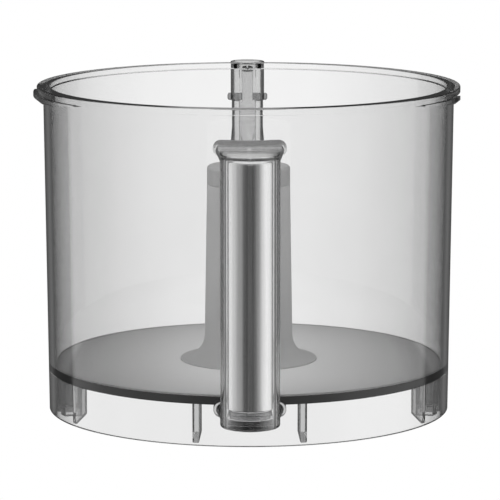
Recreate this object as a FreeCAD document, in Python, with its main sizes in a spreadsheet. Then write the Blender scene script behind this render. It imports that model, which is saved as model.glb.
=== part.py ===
"""Clear work bowl of a food processor: FreeCAD parametric model.

Millimetres, +Z up. The origin is on the bowl's axis in the plane of the skirt's lower edge.
The handle is at -Y and the lid-interlock tube at +Y.
"""
import math
import os

import FreeCAD
import Part
import Sketcher

V = FreeCAD.Vector

DIMENSIONS = {
    # bowl wall and rim
    "wall_base_radius": 98.35,
    "wall_top_radius": 100.2,
    "wall_thickness": 3.4,
    "rim_radius": 103.3,
    "rim_top": 159.7,
    "rim_height": 3.0,
    "rim_round": 0.5,
    # lid bayonet lugs under the rim: start angle and sweep, counted round +Z from +X
    "lid_lug_radius": 105.0,
    "lid_lug_height": 6.0,
    "lid_lug_face": 1.8,
    "left_lug_start": 177.0,
    "left_lug_sweep": 41.0,
    "right_lug_start": -38.0,
    "right_lug_sweep": 24.0,
    # their underside is a ramp: its height on the bowl's axis and its fall towards +Y
    "lug_ramp_level": 150.7,
    "lug_ramp_fall": 0.087,
    "lug_ramp_depth": 24.0,
    # how far a cutter runs past what it cuts, and how far a joined form bites into its neighbour
    "overshoot": 1.0,
    "bite": 1.0,
    # floor, joint ring and skirt
    "floor_underside": 20.1,
    "floor_top": 24.0,
    "floor_cove": 0.5,
    "cove_edge": 0.2,
    "seat_gap": 0.05,
    "skirt_thickness": 3.4,
    "skirt_round": 0.6,
    "rib_width": 3.0,
    "rib_depth": 5.4,
    "rib_bite": 0.6,
    "rib_foot": 1.0,
    "rib_chamfer": 4.5,
    "rib_angle_near": 15.3,
    "rib_angle_far": 60.0,
    # lugs that lock on the motor base
    "lock_lug_depth": 7.0,
    "lock_lug_foot": 2.5,
    "lock_lug_start": 66.0,
    "lock_lug_sweep": 32.0,
    "lock_notch_angle": 71.5,
    "lock_notch_width": 5.5,
    "lock_notch_top": 7.0,
    # centre tube and its collar
    "tube_bore": 17.4,
    "tube_top_radius": 20.4,
    "tube_root_radius": 21.7,
    "tube_flare": 11.6,
    "flange_radius": 33.5,
    "flange_step": 0.6,
    "collar_height": 9.0,
    "collar_spigot": 4.0,
    "collar_round": 1.5,
    "tube_top": 120.0,
    "shaft_bore": 11.0,
    # handle
    "grip_width": 27.5,
    "grip_depth": 22.0,
    "grip_front": 143.0,
    "grip_bottom": 16.5,
    "grip_top": 142.2,
    "grip_corner": 5.0,
    "grip_round": 1.2,
    "grip_wall": 2.6,
    "grip_roof": 1.6,
    "insert_width": 20.9,
    "insert_depth": 15.8,
    "insert_sheet": 0.8,
    "insert_bottom": 25.5,
    "insert_top": 140.4,
    "insert_corner": 2.4,
    "plug_clearance": 0.15,
    "plug_recess": 0.4,
    "plug_base_height": 4.2,
    "plug_boss_step": 1.6,
    "plug_boss_overlap": 0.4,
    "plug_boss_gap": 0.3,
    "plug_boss_corner": 1.6,
    # the two bridges between grip and bowl
    "bridge_width": 34.0,
    "bridge_flange": 3.6,
    "arm_root_width": 33.0,
    "arm_grip_width": 26.6,
    "arm_step": 0.4,
    "top_bridge_low": 137.6,
    "top_bridge_high": 145.1,
    "top_arm_low": 136.4,
    "top_arm_high": 140.8,
    "thumb_radius": 30.0,
    "thumb_middle": 114.0,
    "thumb_low": 141.4,
    "bottom_bridge_low": 15.2,
    "bottom_bridge_high": 22.6,
    "bottom_arm_low": 18.0,
    "bottom_arm_high": 22.0,
    # lid interlock: tube, housing and the moving rod
    "interlock_offset": 108.0,
    "guide_radius": 8.75,
    "guide_waist_radius": 8.2,
    "guide_foot_radius": 9.5,
    "guide_shoulder": 0.6,
    "guide_bore_radius": 7.0,
    "guide_bore_edge": 0.3,
    "guide_bore_floor": 111.5,
    "guide_bore_ramp": 2.5,
    "guide_foot": 105.0,
    "flare_low": 112.0,
    "flare_high": 125.7,
    "rod_radius": 4.45,
    "rod_clearance": 0.05,
    "rod_foot": 62.0,
    "rod_top": 154.8,
    "cap_top": 157.0,
    "cap_radius": 4.45,
    "cap_slot": 1.2,
    "cap_edge": 0.5,
    "stub_pin_radius": 1.9,
    "stub_pin_round": 1.2,
    "stub_pin_height": 141.4,
    "stub_pin_tip": 10.45,
    "stub_pin_root": 3.55,
    "rod_slot_depth": 1.2,
    "rod_slot_clearance": 0.15,
    "rod_travel": 8.0,
    "foot_pin_radius": 2.5,
    "foot_pin_bottom": 10.0,
    "foot_pin_engagement": 12.0,
    "foot_pin_round": 1.2,
    "housing_bottom": 4.0,
    "housing_roof": 2.4,
    "chamber_radius": 6.4,
    "washer_radius": 5.6,
    "washer_thickness": 1.2,
    "bush_recess": 0.6,
    "bush_thickness": 4.0,
    "bush_boss_radius": 5.5,
    "bush_boss_height": 3.0,
    "spring_wire": 0.8,
    "spring_radius": 4.2,
    "spring_pitch": 4.2,
}

TOLERANCE = 1e-3
UPRIGHT = 0.999

doc = FreeCAD.newDocument("WorkBowl")


class Size:
    """A size that knows its value and the spreadsheet expression that drives it."""

    def __init__(self, value, text):
        self.value = value
        self.text = text

    @staticmethod
    def of(other):
        return other if isinstance(other, Size) else Size(float(other), repr(float(other)))

    def __add__(self, other):
        other = Size.of(other)
        return Size(self.value + other.value, f"({self.text} + {other.text})")

    def __sub__(self, other):
        other = Size.of(other)
        return Size(self.value - other.value, f"({self.text} - {other.text})")

    def __mul__(self, other):
        other = Size.of(other)
        return Size(self.value * other.value, f"({self.text} * {other.text})")

    def __truediv__(self, other):
        other = Size.of(other)
        return Size(self.value / other.value, f"({self.text} / {other.text})")

    def __neg__(self):
        return Size(-self.value, f"(0 - {self.text})")


def make_sheet():
    """Write the driving dimensions to a spreadsheet and return them as Size objects by name."""
    sheet = doc.addObject("Spreadsheet::Sheet", "Dims")
    sizes = {}
    for row, (name, value) in enumerate(DIMENSIONS.items(), start=1):
        sheet.set(f"A{row}", name)
        sheet.set(f"B{row}", str(value))
        sheet.setAlias(f"B{row}", name)
        sizes[name] = Size(value, f"Dims.{name}")
    doc.recompute()
    return sizes


D = make_sheet()
ZERO = Size.of(0)


def wall_radius(height):
    """Outer radius of the drafted bowl at a height."""
    rise = D["wall_top_radius"] - D["wall_base_radius"]
    return D["wall_base_radius"] + rise * height / (D["rim_top"] - D["rim_height"])


def bind(item, **sizes):
    """Drive properties of an object by sheet expressions."""
    for name, size in sizes.items():
        item.setExpression(name, Size.of(size).text)


def place(item, x=ZERO, y=ZERO, z=ZERO):
    """Drive an object's position by sheet expressions."""
    for axis, size in zip("xyz", (x, y, z)):
        item.setExpression(f".Placement.Base.{axis}", Size.of(size).text)


def turn(item, axis, angle):
    """Turn an object about a direction through its own origin; the angle follows the sheet."""
    item.Placement = FreeCAD.Placement(item.Placement.Base, FreeCAD.Rotation(axis, Size.of(angle).value))
    item.setExpression(".Placement.Rotation.Angle", Size.of(angle).text)


def add(kind, name, **sizes):
    """Add a Part object and bind its sizes."""
    item = doc.addObject(kind, name)
    bind(item, **sizes)
    return item


def cylinder(name, radius, height, x=ZERO, y=ZERO, z=ZERO):
    item = add("Part::Cylinder", name, Radius=radius, Height=height)
    place(item, x, y, z)
    return item


def box(name, length, width, height, x=ZERO, y=ZERO, z=ZERO):
    item = add("Part::Box", name, Length=length, Width=width, Height=height)
    place(item, x, y, z)
    return item


def cut(name, base, tool):
    item = doc.addObject("Part::Cut", name)
    item.Base = base
    item.Tool = tool
    return item


def fuse(name, *shapes):
    item = doc.addObject("Part::MultiFuse", name)
    item.Shapes = list(shapes)
    return item


def new_body(name):
    return doc.addObject("PartDesign::Body", name)


def origin_plane(body, role):
    return next(item for item in body.Origin.OriginFeatures if item.Role == role)


def sketch_on(body, name, role, turned=ZERO, offset=ZERO):
    """Sketch on one of the body's origin planes, turned about its upright or moved along its normal."""
    sketch = body.newObject("Sketcher::SketchObject", name)
    sketch.AttachmentSupport = (origin_plane(body, role), [""])
    sketch.MapMode = "FlatFace"
    turned = Size.of(turned)
    if turned.value:
        sketch.AttachmentOffset = FreeCAD.Placement(V(), FreeCAD.Rotation(V(0, 1, 0), turned.value))
        sketch.setExpression(".AttachmentOffset.Rotation.Angle", turned.text)
    if Size.of(offset).value:
        sketch.setExpression(".AttachmentOffset.Base.z", Size.of(offset).text)
    return sketch


def hold(sketch, axis, item, point, size):
    """Fix one coordinate of a sketch point, measured from the sketch's origin."""
    kind = "DistanceX" if axis == 0 else "DistanceY"
    size = Size.of(size)
    index = sketch.addConstraint(Sketcher.Constraint(kind, -1, 1, item, point, size.value))
    sketch.setExpression(f"Constraints[{index}]", size.text)


def outline(sketch, points, arcs=None):
    """Closed outline through points; arcs maps a point's index to the centre of the arc to the next."""
    arcs = arcs or {}
    flat = [V(Size.of(x).value, Size.of(y).value, 0) for x, y in points]
    ends = []
    for index, start in enumerate(flat):
        end = flat[(index + 1) % len(flat)]
        if index not in arcs:
            item = sketch.addGeometry(Part.LineSegment(start, end), False)
            ends.append((item, 1, 2))
            continue
        centre_x, centre_y, forward = arcs[index]
        centre = V(Size.of(centre_x).value, Size.of(centre_y).value, 0)
        first, last = (start, end) if forward else (end, start)
        angles = [math.atan2(p.y - centre.y, p.x - centre.x) for p in (first, last)]
        circle = Part.Circle(centre, V(0, 0, 1), (start - centre).Length)
        item = sketch.addGeometry(Part.ArcOfCircle(circle, angles[0], angles[1]), False)
        ends.append((item, 1, 2) if forward else (item, 2, 1))
        chord = end - start
        axis = 1 if abs(chord.x) >= abs(chord.y) else 0
        hold(sketch, axis, item, 3, centre_y if axis else centre_x)
    for index, (item, _, end_point) in enumerate(ends):
        following, next_start, _ = ends[(index + 1) % len(ends)]
        sketch.addConstraint(Sketcher.Constraint("Coincident", item, end_point, following, next_start))
    for (item, start_point, _), (x, y) in zip(ends, points):
        hold(sketch, 0, item, start_point, x)
        hold(sketch, 1, item, start_point, y)
    return sketch


def revolve(body, name, points, arcs=None, turned=ZERO, sweep=None):
    """Turn a radius-height outline about the bowl's axis, all the way or through a sweep."""
    sketch = outline(sketch_on(body, f"{name}_sketch", "XZ_Plane", turned=turned), points, arcs)
    feature = body.newObject("PartDesign::Revolution", name)
    feature.Profile = sketch
    feature.ReferenceAxis = (sketch, ["V_Axis"])
    feature.Angle = 360.0
    if sweep is not None:
        feature.Angle = sweep.value
        bind(feature, Angle=sweep)
    return feature


def round_edges(body, name, radius, wanted):
    """Fillet the edges of the body's present shape that a test accepts."""
    doc.recompute()
    base = body.Tip
    edges = [f"Edge{i}" for i, edge in enumerate(base.Shape.Edges, start=1) if wanted(edge)]
    if not edges:
        raise RuntimeError(f"{name} found no edge to round")
    feature = body.newObject("PartDesign::Fillet", name)
    feature.Base = (base, edges)
    bind(feature, Radius=radius)
    return feature


def is_ring(edge, radius, height):
    """Whether an edge is a circle about Z with this radius at this height."""
    curve = edge.Curve
    if not isinstance(curve, Part.Circle):
        return False
    at_radius = abs(curve.Radius - radius.value) < TOLERANCE
    return at_radius and abs(edge.CenterOfMass.z - height.value) < TOLERANCE


# --- bowl -----------------------------------------------------------------------------------------

RIM_UNDER = D["rim_top"] - D["rim_height"]


def wall_envelope(name):
    """Solid inside of the drafted wall and skirt, up to the rim: cuts what is fixed to the outside."""
    return add(
        "Part::Cone", name, Radius1=wall_radius(ZERO), Radius2=wall_radius(RIM_UNDER), Height=RIM_UNDER
    )


def below_lug_ramp():
    """Everything under the sloping plane that both lid lugs' undersides lie on."""
    body = new_body("below_lug_ramp")
    reach = D["lid_lug_radius"] + D["overshoot"]
    level = D["lug_ramp_level"]
    fall = D["lug_ramp_fall"] * reach
    low = level - D["lug_ramp_depth"]
    points = [(-reach, low), (reach, low), (reach, level - fall), (-reach, level + fall)]
    pad = body.newObject("PartDesign::Pad", "below_lug_ramp_pad")
    pad.Profile = outline(sketch_on(body, "below_lug_ramp_sketch", "YZ_Plane"), points)
    pad.SideType = "Symmetric"
    bind(pad, Length=reach * 2)
    return body


def lid_lug(side, ramp):
    """Lug under the rim that deepens along its length, so that the lid's tab winds down beneath it."""
    body = new_body(f"{side}_lid_lug_form")
    low = RIM_UNDER - D["lid_lug_height"]
    root = wall_radius(low) - D["wall_thickness"] / 2
    tip = D["lid_lug_radius"]
    toe = RIM_UNDER - D["lid_lug_face"]
    points = [(root, low), (wall_radius(low), low), (tip, toe), (tip, RIM_UNDER), (root, RIM_UNDER)]
    start = D[f"{side}_lug_start"]
    revolve(body, f"{side}_lug_section", points, turned=start, sweep=D[f"{side}_lug_sweep"])
    return cut(f"{side}_lid_lug", body, ramp)


def make_bowl_wall():
    """Drafted wall with a flat rim, two lid lugs and a seat for the interlock tube."""
    body = new_body("bowl_wall_turning")
    thick = D["wall_thickness"]
    top = D["rim_top"]
    points = [
        (wall_radius(D["floor_top"]), D["floor_top"]),
        (wall_radius(RIM_UNDER), RIM_UNDER),
        (D["rim_radius"], RIM_UNDER),
        (D["rim_radius"], top),
        (wall_radius(RIM_UNDER) - thick, top),
        (wall_radius(RIM_UNDER) - thick, RIM_UNDER),
        (wall_radius(D["floor_top"]) - thick, D["floor_top"]),
    ]
    revolve(body, "wall_section", points)
    round_edges(body, "rim_rounding", D["rim_round"], lambda edge: is_ring(edge, D["rim_radius"], top))
    ramp = below_lug_ramp()
    lugged = fuse("wall_with_lugs", body, lid_lug("left", ramp), lid_lug("right", ramp))
    seat = cylinder("tube_seat", D["guide_radius"], D["rim_height"] * 2, y=D["interlock_offset"], z=RIM_UNDER)
    return cut("bowl_wall", lugged, seat)


def make_bowl_floor():
    """Floor disc whose edge sweeps up the wall in a cove."""
    body = new_body("bowl_floor")
    outer = wall_radius(D["floor_top"]) - D["wall_thickness"] - D["seat_gap"]
    cove_top = D["floor_top"] + D["floor_cove"]
    cove_inside = outer - D["cove_edge"]
    hole = D["flange_radius"] + D["seat_gap"]
    points = [
        (hole, D["floor_underside"]),
        (outer, D["floor_underside"]),
        (outer, cove_top),
        (cove_inside, cove_top),
        (cove_inside - D["floor_cove"], D["floor_top"]),
        (hole, D["floor_top"]),
    ]
    revolve(body, "floor_section", points, arcs={3: (cove_inside - D["floor_cove"], cove_top, False)})
    return body


def make_floor_joint_ring():
    """Dark ring between wall and skirt, level with the floor."""
    body = new_body("floor_joint_ring")
    inner = wall_radius(D["floor_top"]) - D["wall_thickness"]
    low = D["floor_underside"]
    high = D["floor_top"]
    points = [(inner, low), (wall_radius(low), low), (wall_radius(high), high), (inner, high)]
    revolve(body, "ring_section", points)
    return body


def rib(body, name, angle):
    """Upright rib inside the skirt whose lower inner corner is cut back."""
    inner = wall_radius(ZERO) - D["skirt_thickness"]
    tip = inner - D["rib_depth"]
    foot = D["rib_foot"]
    bite = D["rib_bite"]
    points = [
        (tip, foot + D["rib_chamfer"]),
        (inner - bite, foot),
        (inner + bite, foot),
        (inner + bite, D["floor_underside"]),
        (tip, D["floor_underside"]),
    ]
    sketch = outline(sketch_on(body, f"{name}_sketch", "XZ_Plane", turned=angle), points)
    pad = body.newObject("PartDesign::Pad", name)
    pad.Profile = sketch
    pad.SideType = "Symmetric"
    bind(pad, Length=D["rib_width"])


def make_base_skirt():
    """Ring that drops over the motor base's boss, with upright ribs inside."""
    body = new_body("base_skirt")
    top = D["floor_underside"]
    thick = D["skirt_thickness"]
    points = [(wall_radius(ZERO), ZERO), (wall_radius(top), top), (wall_radius(top) - thick, top)]
    points.append((wall_radius(ZERO) - thick, ZERO))
    revolve(body, "skirt_section", points)
    bottom = wall_radius(ZERO)
    round_edges(body, "skirt_rounding", D["skirt_round"], lambda edge: is_ring(edge, bottom, ZERO))
    for end, middle in (("front", -90), ("rear", 90)):
        for reach in ("near", "far"):
            spread = D[f"rib_angle_{reach}"]
            rib(body, f"{end}_{reach}_rib_a", Size.of(middle) + spread)
            rib(body, f"{end}_{reach}_rib_b", Size.of(middle) - spread)
    return body


def make_base_lock_lugs():
    """Two notched lugs inside the skirt, one each side, that turn under the motor base's tabs."""
    outer = wall_radius(ZERO) - D["skirt_thickness"] - D["seat_gap"]
    foot = D["lock_lug_foot"]
    tall = D["floor_underside"] - foot
    block = add("Part::Cylinder", "lug_block", Radius=outer, Height=tall, Angle=D["lock_lug_sweep"])
    place(block, z=foot)
    turn(block, V(0, 0, 1), D["lock_lug_start"] - 90)
    core = cylinder("lug_core", outer - D["lock_lug_depth"], D["floor_underside"])
    width = D["lock_notch_width"]
    reach = outer + D["lock_lug_depth"]
    slot = box("lug_slot", reach, width, D["lock_notch_top"] - width / 2, y=-width / 2)
    crown = cylinder("lug_slot_crown", width / 2, reach, z=D["lock_notch_top"] - width / 2)
    crown.Placement = FreeCAD.Placement(crown.Placement.Base, FreeCAD.Rotation(V(0, 1, 0), 90))
    notch = fuse("lug_notch", slot, crown)
    turn(notch, V(0, 0, 1), D["lock_notch_angle"] - 90)
    right = cut("lock_lug_right", cut("lug_sector", block, core), notch)
    left = doc.addObject("Part::Mirroring", "lock_lug_left")
    left.Source = right
    left.Normal = V(1, 0, 0)
    pair = doc.addObject("Part::Compound", "base_lock_lugs")
    pair.Links = [right, left]
    return pair


def flare_top():
    """Height where the centre tube's flared foot meets its tapered part."""
    return D["floor_top"] + D["flange_step"] + D["tube_flare"]


def make_centre_tube():
    """Tapered tunnel round the drive shaft, from the top of its foot to its collar."""
    body = new_body("centre_tube")
    top = D["tube_top"] - D["collar_height"]
    points = [
        (D["tube_bore"], flare_top()),
        (D["tube_root_radius"], flare_top()),
        (D["tube_top_radius"], top),
        (D["tube_bore"], top),
    ]
    revolve(body, "tube_section", points)
    return body


def make_centre_tube_foot():
    """Flared foot of the centre tube, with the root flange let into the floor."""
    body = new_body("centre_tube_foot")
    flange_top = D["floor_top"] + D["flange_step"]
    flare_foot = D["tube_root_radius"] + D["tube_flare"]
    points = [
        (D["tube_bore"], D["floor_underside"]),
        (D["flange_radius"], D["floor_underside"]),
        (D["flange_radius"], flange_top),
        (flare_foot, flange_top),
        (D["tube_root_radius"], flare_top()),
        (D["tube_bore"], flare_top()),
    ]
    revolve(body, "foot_section", points, arcs={3: (flare_foot, flare_top(), False)})
    return body


def make_tube_collar():
    """Collar pressed into the tube's top, with the bore that the drive shaft comes up through."""
    body = new_body("tube_collar")
    foot = D["tube_top"] - D["collar_height"]
    spigot = D["tube_bore"] - D["seat_gap"]
    points = [
        (D["shaft_bore"], foot - D["collar_spigot"]),
        (spigot, foot - D["collar_spigot"]),
        (spigot, foot),
        (D["tube_top_radius"], foot),
        (D["tube_top_radius"], D["tube_top"]),
        (D["shaft_bore"], D["tube_top"]),
    ]
    revolve(body, "collar_section", points)
    outer, top = D["tube_top_radius"], D["tube_top"]
    round_edges(body, "collar_rounding", D["collar_round"], lambda edge: is_ring(edge, outer, top))
    return body


# --- handle ---------------------------------------------------------------------------------------


def grip_prism(name, width, depth, front, low, high, corner):
    """Upright D-section prism: round towards the front, flat with rounded corners at the back."""
    body = new_body(name)
    half = width / 2
    middle = half - front
    back = depth - front
    points = [(-half, middle), (half, middle), (half, back), (-half, back)]
    arcs = {0: (ZERO, middle, True)}
    sketch = outline(sketch_on(body, f"{name}_sketch", "XY_Plane", offset=low), points, arcs)
    pad = body.newObject("PartDesign::Pad", f"{name}_pad")
    pad.Profile = sketch
    bind(pad, Length=high - low)

    def back_corner(edge):
        centre = edge.CenterOfMass
        upright = abs(edge.tangentAt(edge.FirstParameter).z) > UPRIGHT
        at_back = abs(centre.y - back.value) < TOLERANCE
        return upright and at_back and abs(abs(centre.x) - half.value) < TOLERANCE

    round_edges(body, f"{name}_corners", corner, back_corner)
    return body


def make_handle_shell():
    """Clear hollow grip, rounded at both ends and open at the bottom for its plug."""
    low, high = D["grip_bottom"], D["grip_top"]
    outer = grip_prism(
        "grip_form", D["grip_width"], D["grip_depth"], D["grip_front"], low, high, D["grip_corner"]
    )

    def end_edge(edge):
        height = edge.CenterOfMass.z
        level = edge.BoundBox.ZLength < TOLERANCE
        return level and min(abs(height - low.value), abs(height - high.value)) < TOLERANCE

    round_edges(outer, "grip_end_rounding", D["grip_round"], end_edge)
    wall = D["grip_wall"]
    hollow = grip_prism(
        "grip_hollow",
        D["grip_width"] - wall * 2,
        D["grip_depth"] - wall * 2,
        D["grip_front"] - wall,
        low,
        high - D["grip_roof"],
        D["insert_corner"],
    )
    return cut("handle_shell", outer, hollow), outer


def make_handle_insert():
    """Bright sheet-metal tube seated inside the grip."""
    gap = (D["grip_width"] - D["insert_width"]) / 2
    low, high = D["insert_bottom"], D["insert_top"]
    sheet = D["insert_sheet"]
    outer = grip_prism(
        "insert_form",
        D["insert_width"],
        D["insert_depth"],
        D["grip_front"] - gap,
        low,
        high,
        D["insert_corner"],
    )
    inner = grip_prism(
        "insert_hollow",
        D["insert_width"] - sheet * 2,
        D["insert_depth"] - sheet * 2,
        D["grip_front"] - gap - sheet,
        low - D["overshoot"],
        high + D["overshoot"],
        D["insert_corner"] - sheet,
    )
    return cut("handle_insert", outer, inner)


def make_handle_end_plug():
    """Plug in the grip's lower end: a base the shape of the hollow with a stepped boss above it."""
    wall = D["grip_wall"] + D["plug_clearance"]
    low = D["grip_bottom"] + D["plug_recess"]
    base_top = low + D["plug_base_height"]
    base = grip_prism(
        "plug_base",
        D["grip_width"] - wall * 2,
        D["grip_depth"] - wall * 2,
        D["grip_front"] - wall,
        low,
        base_top,
        D["insert_corner"],
    )
    boss_wall = wall + D["plug_boss_step"]
    boss = grip_prism(
        "plug_boss",
        D["grip_width"] - boss_wall * 2,
        D["grip_depth"] - boss_wall * 2,
        D["grip_front"] - boss_wall,
        base_top - D["plug_boss_overlap"],
        D["insert_bottom"] - D["plug_boss_gap"],
        D["plug_boss_corner"],
    )
    return fuse("handle_end_plug", base, boss)


def stadium(sketch, width, low, high):
    """Upright stadium outline: level top and bottom with round ends."""
    radius = (high - low) / 2
    flat = width / 2 - radius
    middle = (high + low) / 2
    points = [(-flat, low), (flat, low), (flat, high), (-flat, high)]
    return outline(sketch, points, arcs={1: (flat, middle, True), 3: (-flat, middle, True)})


def make_bridge(side, envelope, grip):
    """Round-ended flange on the bowl and an arm that narrows from it to the grip."""
    body = new_body(f"{side}_bridge_form")
    low, high = D[f"{side}_bridge_low"], D[f"{side}_bridge_high"]
    inner = D["wall_base_radius"] - D["bite"]
    flange_front = D["wall_top_radius"] + D["bridge_flange"]
    grip_middle = D["grip_front"] - D["grip_width"] / 2
    flange_sketch = sketch_on(body, f"{side}_flange_sketch", "XZ_Plane", offset=inner)
    flange = body.newObject("PartDesign::Pad", f"{side}_flange")
    flange.Profile = stadium(flange_sketch, D["bridge_width"], low, high)
    bind(flange, Length=flange_front - inner)
    root = sketch_on(body, f"{side}_arm_root", "XZ_Plane", offset=inner)
    stadium(root, D["arm_root_width"], low + D["arm_step"], high - D["arm_step"])
    head = sketch_on(body, f"{side}_arm_head", "XZ_Plane", offset=grip_middle)
    stadium(head, D["arm_grip_width"], D[f"{side}_arm_low"], D[f"{side}_arm_high"])
    arm = body.newObject("PartDesign::AdditiveLoft", f"{side}_arm")
    arm.Profile = root
    arm.Sections = [head]
    return cut(f"{side}_bridge_at_grip", cut(f"{side}_bridge_at_wall", body, envelope), grip)


def make_top_bridge(envelope, grip):
    """Upper bridge, scooped across its top as a thumb rest."""
    bridge = make_bridge("top", envelope, grip)
    length = D["bridge_width"] * 2
    radius = D["thumb_radius"]
    scoop = cylinder(
        "thumb_scoop", radius, length, -length / 2, -D["thumb_middle"], D["thumb_low"] + radius
    )
    scoop.Placement = FreeCAD.Placement(scoop.Placement.Base, FreeCAD.Rotation(V(0, 1, 0), 90))
    return cut("handle_top_bridge", bridge, scoop)


# --- lid interlock --------------------------------------------------------------------------------


def revolve_at_rod(name, points):
    """Turn a radius-height outline about the interlock rod's axis."""
    body = new_body(name)
    revolve(body, f"{name}_section", points)
    place(body, y=D["interlock_offset"])
    return body


def make_interlock_tube(envelope):
    """Clear thin-walled tube, flush with the rim and open for the lid's finger, with two pin holes."""
    top = D["rim_top"]
    bore = D["rod_radius"] + D["rod_clearance"]
    wide = D["guide_bore_radius"]
    edge = D["guide_bore_edge"]
    waist_top = D["stub_pin_height"] - D["stub_pin_radius"]
    points = [
        (bore, D["guide_foot"]),
        (D["guide_foot_radius"], D["guide_foot"]),
        (D["guide_foot_radius"], D["flare_low"]),
        (D["guide_waist_radius"], D["flare_high"]),
        (D["guide_waist_radius"], waist_top),
        (D["guide_radius"], waist_top + D["guide_shoulder"]),
        (D["guide_radius"], top),
        (wide + edge, top),
        (wide, top - edge),
        (wide, D["guide_bore_floor"] + D["guide_bore_ramp"]),
        (bore, D["guide_bore_floor"]),
    ]
    turned = revolve_at_rod("guide_turning", points)
    long = D["stub_pin_tip"] * 3
    holes = cylinder(
        "pin_holes", D["stub_pin_radius"], long, -long / 2, D["interlock_offset"], D["stub_pin_height"]
    )
    holes.Placement = FreeCAD.Placement(holes.Placement.Base, FreeCAD.Rotation(V(0, 1, 0), 90))
    drilled = cut("guide_drilled", turned, holes)
    return cut("interlock_tube", drilled, envelope)


def make_stub_pins():
    """Two round-ended pins pressed through the tube's sides into the rod's slots: they stop its travel."""
    pins = []
    tip = D["stub_pin_tip"]
    for name, start, outer_end in (("right", D["stub_pin_root"], tip.value), ("left", -tip, -tip.value)):
        blank = cylinder(
            f"stub_pin_{name}_blank",
            D["stub_pin_radius"],
            tip - D["stub_pin_root"],
            start,
            D["interlock_offset"],
            D["stub_pin_height"],
        )
        blank.Placement = FreeCAD.Placement(blank.Placement.Base, FreeCAD.Rotation(V(0, 1, 0), 90))
        doc.recompute()
        ends = [
            index
            for index, edge in enumerate(blank.Shape.Edges, start=1)
            if edge.BoundBox.XLength < TOLERANCE and abs(edge.BoundBox.XMin - outer_end) < TOLERANCE
        ]
        pin = add("Part::Fillet", f"stub_pin_{name}")
        pin.Base = blank
        pin.Edges = [(index, D["stub_pin_round"].value, D["stub_pin_round"].value) for index in ends]
        pins.append(pin)
    pair = doc.addObject("Part::Compound", "interlock_guide_pins")
    pair.Links = pins
    return pair


def make_interlock_rod():
    """Push rod with a slot down each side for the stub pins."""
    height = D["rod_top"] - D["rod_foot"]
    shaft = cylinder("rod_shaft", D["rod_radius"], height, y=D["interlock_offset"], z=D["rod_foot"])
    socket_depth = D["foot_pin_engagement"]
    socket = cylinder(
        "rod_socket", D["foot_pin_radius"], socket_depth, y=D["interlock_offset"], z=D["rod_foot"]
    )
    bored = cut("rod_bored", shaft, socket)
    play = D["rod_slot_clearance"]
    half = D["stub_pin_radius"] + play
    low = D["stub_pin_height"] - half
    tall = half * 2 + D["rod_travel"]
    slots = []
    for name, start in (
        ("right", D["rod_radius"] - D["rod_slot_depth"]),
        ("left", -D["rod_radius"] - D["overshoot"]),
    ):
        deep = D["rod_slot_depth"] + D["overshoot"]
        slot = box(f"rod_slot_{name}", deep, half * 2, tall, start, D["interlock_offset"] - half, low)
        slots.append(slot)
    return cut("interlock_rod", bored, fuse("rod_slots", *slots))


def make_rod_cap():
    """Slotted head on the rod, which the lid's finger presses."""
    height = D["cap_top"] - D["rod_top"]
    disc = cylinder("cap_disc", D["cap_radius"], height, y=D["interlock_offset"], z=D["rod_top"])
    rim = add("Part::Chamfer", "cap_chamfer")
    doc.recompute()
    top_edges = [
        index
        for index, edge in enumerate(disc.Shape.Edges, start=1)
        if is_ring(edge, D["cap_radius"], D["cap_top"])
    ]
    rim.Base = disc
    edge_size = D["cap_edge"].value
    rim.Edges = [(index, edge_size, edge_size) for index in top_edges]
    width = D["cap_slot"]
    slot = box(
        "cap_slot_cutter",
        width,
        D["cap_radius"] * 3,
        height / 2,
        -width / 2,
        D["interlock_offset"] - D["cap_radius"] * 1.5,
        D["cap_top"] - height / 2,
    )
    return cut("interlock_rod_cap", rim, slot)


def make_foot_pin():
    """Steel pin pressed into the rod; its rounded tip reaches the motor base's switch."""
    height = D["rod_foot"] + D["foot_pin_engagement"] - D["foot_pin_bottom"]
    pin = cylinder(
        "foot_pin_blank", D["foot_pin_radius"], height, y=D["interlock_offset"], z=D["foot_pin_bottom"]
    )
    doc.recompute()
    tip = add("Part::Fillet", "interlock_foot_pin")
    tip.Base = pin
    rounding = D["foot_pin_round"].value
    tip.Edges = [
        (index, rounding, rounding)
        for index, edge in enumerate(pin.Shape.Edges, start=1)
        if is_ring(edge, D["foot_pin_radius"], D["foot_pin_bottom"])
    ]
    return tip


def make_spring_seat_washer():
    """Washer between the spring and the rod's lower end."""
    inner = D["foot_pin_radius"] + D["seat_gap"]
    top = D["rod_foot"]
    low = top - D["washer_thickness"]
    points = [(inner, low), (D["washer_radius"], low), (D["washer_radius"], top), (inner, top)]
    return revolve_at_rod("spring_seat_washer", points)


def make_interlock_bush():
    """Bottom bush that closes the housing, guides the foot pin and carries the spring."""
    bore = D["foot_pin_radius"] + D["rod_clearance"]
    low = D["housing_bottom"] + D["bush_recess"]
    flange = low + D["bush_thickness"]
    boss = flange + D["bush_boss_height"]
    outer = D["chamber_radius"] - D["seat_gap"]
    points = [
        (bore, low),
        (outer, low),
        (outer, flange),
        (D["bush_boss_radius"], flange),
        (D["bush_boss_radius"], boss),
        (bore, boss),
    ]
    return revolve_at_rod("interlock_bush", points)


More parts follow.
